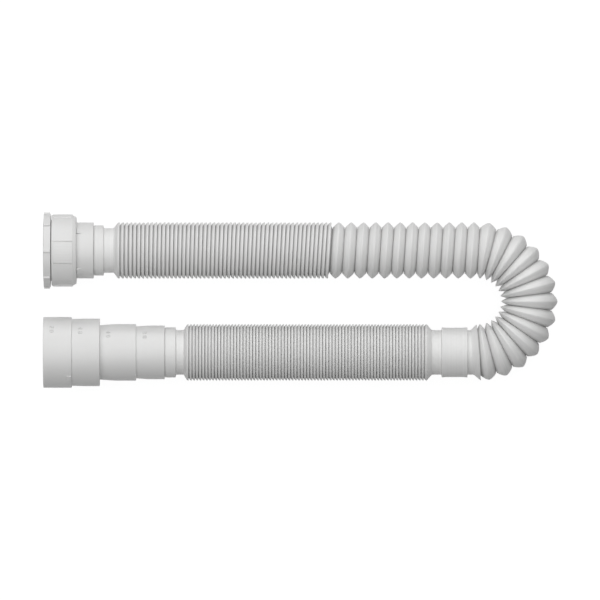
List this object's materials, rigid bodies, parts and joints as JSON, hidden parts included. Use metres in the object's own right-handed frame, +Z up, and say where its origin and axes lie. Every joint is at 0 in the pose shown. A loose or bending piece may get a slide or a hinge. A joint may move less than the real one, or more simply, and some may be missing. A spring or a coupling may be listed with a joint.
{
  "type": "flexible sink trap",
  "caption": "Extensible bellows sink trap bent into a U, with a threaded inlet nut and reducer ring and a stepped outlet adapter.",
  "frame": {"origin": "centre of the bounding box in X and Y, on the surface that the trap lies on (Z = 0)", "axes": "+X along both legs from the open ends towards the bend, +Y from the outlet leg to the inlet leg, +Z up, square to the plane of the U"},
  "size_m": [0.3646, 0.1246, 0.0542],
  "materials": {
    "hose_plastic": "satin",
    "fitting_plastic": "satin",
    "washer_rubber": "matte"
  },
  "bodies": {
    "hose": {"bellows_hose": "hose_plastic"},
    "inlet": {"inlet_tailpiece": "fitting_plastic", "tailpiece_washer": "washer_rubber"},
    "nut": {"coupling_nut": "fitting_plastic"},
    "reducer": {"reducer_ring": "fitting_plastic"},
    "outlet": {"outlet_adapter": "fitting_plastic"}
  },
  "joints": [
    {"name": "inlet_leg_stretch", "type": "slide", "parent": "hose", "child": "inlet", "axis": [-1, 0, 0], "range_m": [0, 0.295], "deforming": ["bellows_hose"]},
    {"name": "outlet_leg_stretch", "type": "slide", "parent": "hose", "child": "outlet", "axis": [-1, 0, 0], "range_m": [0, 0.483], "deforming": ["bellows_hose"]},
    {"name": "nut_spin", "type": "hinge", "parent": "inlet", "child": "nut", "pos_m": [-0.1764, 0.03515, 0.02711], "axis": [-1, 0, 0], "continuous": true},
    {"name": "reducer_turn", "type": "hinge", "parent": "nut", "child": "reducer", "pos_m": [-0.18228, 0.03515, 0.02711], "axis": [-1, 0, 0], "range_deg": [0, 1450]}
  ]
}
